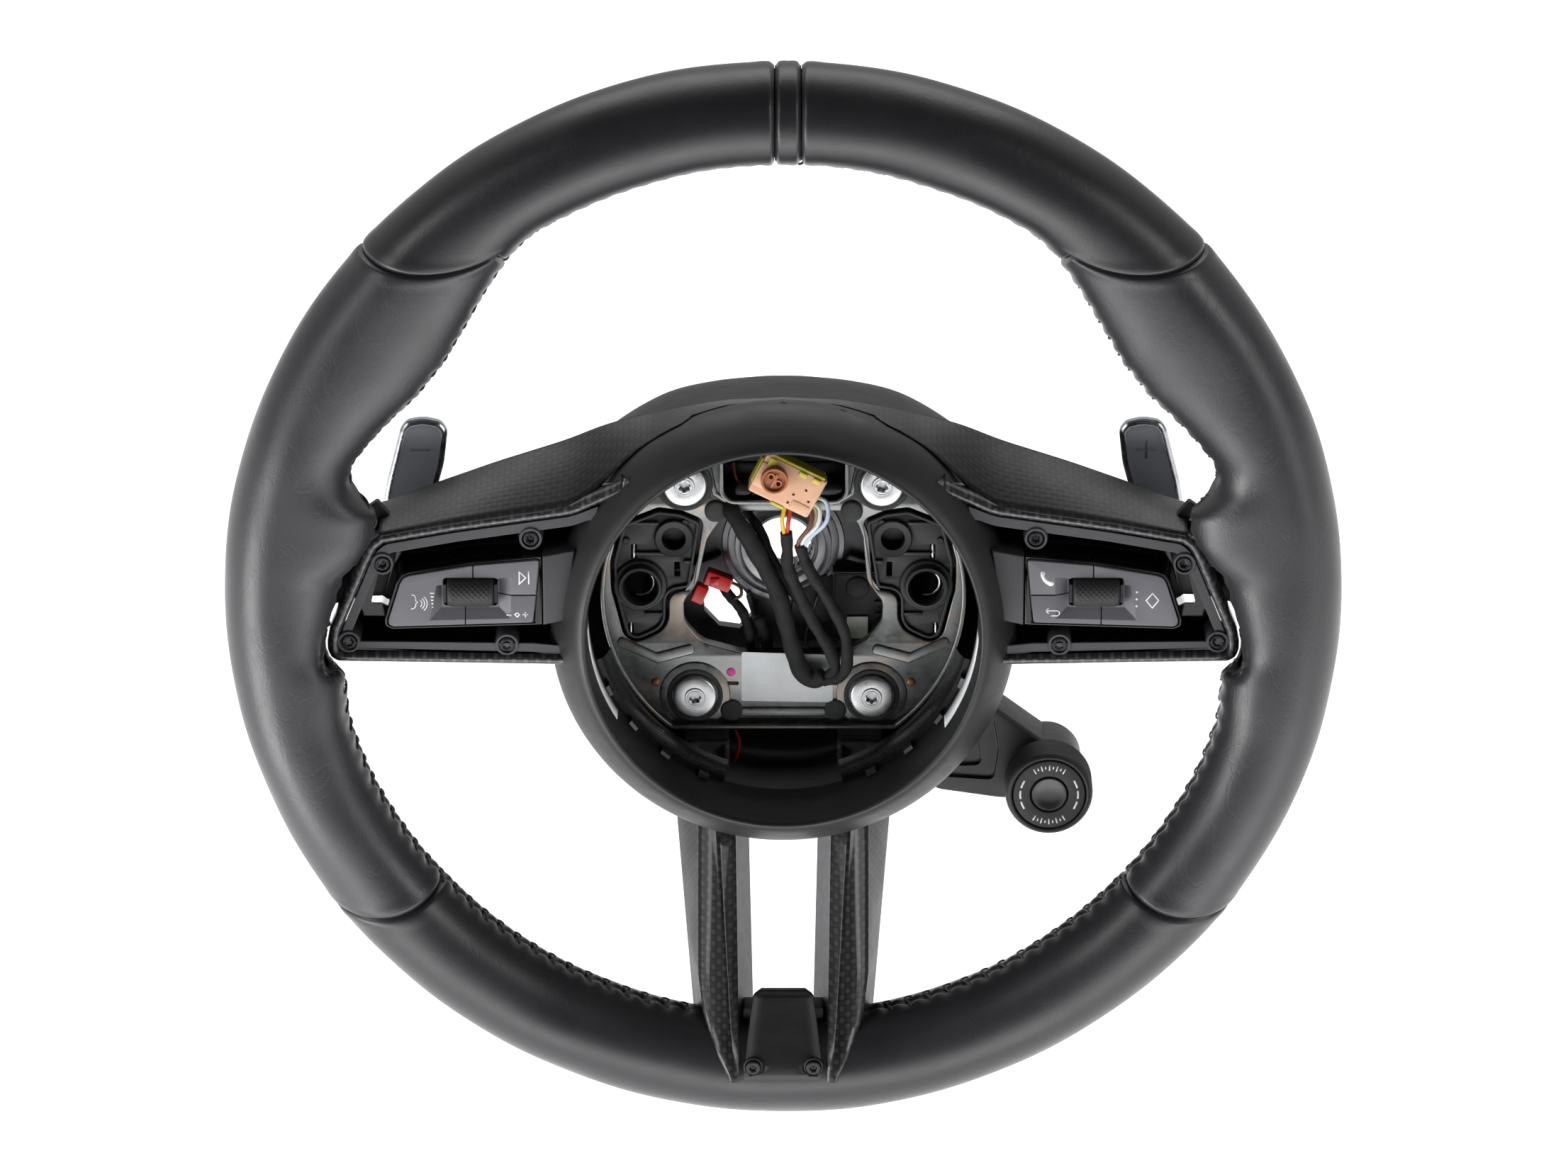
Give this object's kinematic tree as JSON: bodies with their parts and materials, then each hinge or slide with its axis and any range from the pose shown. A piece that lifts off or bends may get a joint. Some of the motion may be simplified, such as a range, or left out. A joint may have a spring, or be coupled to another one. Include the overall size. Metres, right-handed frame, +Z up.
{
  "type": "steering wheel",
  "caption": "Leather-wrapped three-spoke steering wheel without its airbag: switch pads, rollers, shift paddles, a mode knob, carbon trim and a sprung horn plate on a cast frame.",
  "frame": {"origin": "on the steering axis, midway through the wheel's depth", "axes": "+X to the driver's right, +Z up across the wheel, +Y along the steering axis away from the driver towards the column"},
  "size_m": [0.375, 0.0854, 0.375],
  "materials": {
    "leather_black": "smooth satin leather",
    "foam": "moulded foam",
    "cast_magnesium": "as cast",
    "satin_black": "satin moulded plastic",
    "side_wall_grey": "satin moulded plastic",
    "carbon": "lacquered woven carbon",
    "gloss_black": "piano black",
    "key_grey": "soft-touch paint",
    "roller_black": "fine texture",
    "black_screw": "black zinc",
    "bright_steel": "bright zinc",
    "gunmetal_chrome": "dark chrome",
    "zinc_plate": "galvanised, slightly tinted",
    "loom_tape": "fleece tape"
  },
  "bodies": {
    "root": {"armature": "cast_magnesium", "rim_foam": "foam", "rim_leather_top_left": "leather_black", "rim_leather_top_right": "leather_black", "rim_leather_center_band": "leather_black", "rim_leather_grip_left": "leather_black", "rim_leather_grip_right": "leather_black", "rim_leather_bottom": "leather_black", "hub_bezel": "satin_black", "lower_spoke_cover": "satin_black", "rear_cover": "satin_black", "mode_stalk": "satin_black", "lower_spoke_backing": "side_wall_grey", "spoke_trim_upper": "carbon", "spoke_trim_lower": "carbon", "switch_bezel_left": "gloss_black", "switch_bezel_right": "gloss_black", "switch_housing_left": "key_grey", "switch_housing_right": "key_grey", "paddle_bracket_left": "roller_black", "paddle_bracket_right": "roller_black", "control_module": "roller_black", "lower_cover_screw_left": "black_screw", "lower_cover_screw_right": "black_screw", "switch_screw_left_1": "black_screw", "switch_screw_left_2": "black_screw", "switch_screw_left_3": "black_screw", "switch_screw_left_4": "black_screw", "switch_screw_right_1": "black_screw", "switch_screw_right_2": "black_screw", "switch_screw_right_3": "black_screw", "switch_screw_right_4": "black_screw", "paddle_pin_left": "bright_steel", "paddle_pin_right": "bright_steel", "plate_screw_1": "bright_steel", "plate_screw_2": "bright_steel", "plate_screw_3": "bright_steel", "plate_screw_4": "bright_steel", "wiring_harness": "loom_tape"},
    "horn_plate": {"horn_plate": "zinc_plate", "clip_carrier_left": "satin_black", "clip_carrier_right": "satin_black", "horn_spring_1": "bright_steel", "horn_spring_2": "bright_steel", "horn_spring_3": "bright_steel", "horn_spring_4": "bright_steel"},
    "mode_knob": {"mode_knob": "satin_black"},
    "mode_button": {"mode_button": "gloss_black"},
    "paddle_left": {"paddle_left": "gunmetal_chrome"},
    "key_left_outer": {"key_left_outer": "key_grey"},
    "key_left_upper": {"key_left_upper": "key_grey"},
    "key_left_lower": {"key_left_lower": "key_grey"},
    "roller_cradle_left": {"roller_cradle_left": "roller_black"},
    "roller_left": {"roller_left": "roller_black"},
    "paddle_right": {"paddle_right": "gunmetal_chrome"},
    "key_right_outer": {"key_right_outer": "key_grey"},
    "key_right_upper": {"key_right_upper": "key_grey"},
    "key_right_lower": {"key_right_lower": "key_grey"},
    "roller_cradle_right": {"roller_cradle_right": "roller_black"},
    "roller_right": {"roller_right": "roller_black"}
  },
  "joints": [
    {"name": "horn_press", "type": "slide", "parent": "root", "child": "horn_plate", "axis": [0, 1, 0], "range_m": [0, 0.0012], "stiffness_N_per_m": 60000},
    {"name": "paddle_left_pull", "type": "hinge", "parent": "root", "child": "paddle_left", "pos_m": [-0.09, 0.0227, 0.004], "axis": [0, 0, 1], "range_deg": [0, 5], "stiffness_Nm_per_rad": 3},
    {"name": "key_left_outer_press", "type": "slide", "parent": "root", "child": "key_left_outer", "axis": [0, 1, 0], "range_m": [0, 0.0008], "stiffness_N_per_m": 3000},
    {"name": "key_left_upper_press", "type": "slide", "parent": "root", "child": "key_left_upper", "axis": [0, 1, 0], "range_m": [0, 0.0008], "stiffness_N_per_m": 3000},
    {"name": "key_left_lower_press", "type": "slide", "parent": "root", "child": "key_left_lower", "axis": [0, 1, 0], "range_m": [0, 0.0008], "stiffness_N_per_m": 3000},
    {"name": "roller_left_click", "type": "slide", "parent": "root", "child": "roller_cradle_left", "axis": [0, 1, 0], "range_m": [0, 0.0006], "stiffness_N_per_m": 5000},
    {"name": "roller_left_scroll", "type": "hinge", "parent": "roller_cradle_left", "child": "roller_left", "pos_m": [-0.1052, -0.0203, 0.0013], "axis": [1, 0, 0], "continuous": true},
    {"name": "paddle_right_pull", "type": "hinge", "parent": "root", "child": "paddle_right", "pos_m": [0.09, 0.0227, 0.004], "axis": [0, 0, -1], "range_deg": [0, 5], "stiffness_Nm_per_rad": 3},
    {"name": "key_right_outer_press", "type": "slide", "parent": "root", "child": "key_right_outer", "axis": [0, 1, 0], "range_m": [0, 0.0008], "stiffness_N_per_m": 3000},
    {"name": "key_right_upper_press", "type": "slide", "parent": "root", "child": "key_right_upper", "axis": [0, 1, 0], "range_m": [0, 0.0008], "stiffness_N_per_m": 3000},
    {"name": "key_right_lower_press", "type": "slide", "parent": "root", "child": "key_right_lower", "axis": [0, 1, 0], "range_m": [0, 0.0008], "stiffness_N_per_m": 3000},
    {"name": "roller_right_click", "type": "slide", "parent": "root", "child": "roller_cradle_right", "axis": [0, 1, 0], "range_m": [0, 0.0006], "stiffness_N_per_m": 5000},
    {"name": "roller_right_scroll", "type": "hinge", "parent": "roller_cradle_right", "child": "roller_right", "pos_m": [0.1052, -0.0203, 0.0013], "axis": [1, 0, 0], "continuous": true},
    {"name": "mode_knob_turn", "type": "hinge", "parent": "root", "child": "mode_knob", "pos_m": [0.091, 0.0037, -0.0795], "axis": [0, 1, 0], "continuous": true},
    {"name": "mode_button_press", "type": "slide", "parent": "root", "child": "mode_button", "axis": [0, 1, 0], "range_m": [0, 0.0009], "stiffness_N_per_m": 3000}
  ]
}
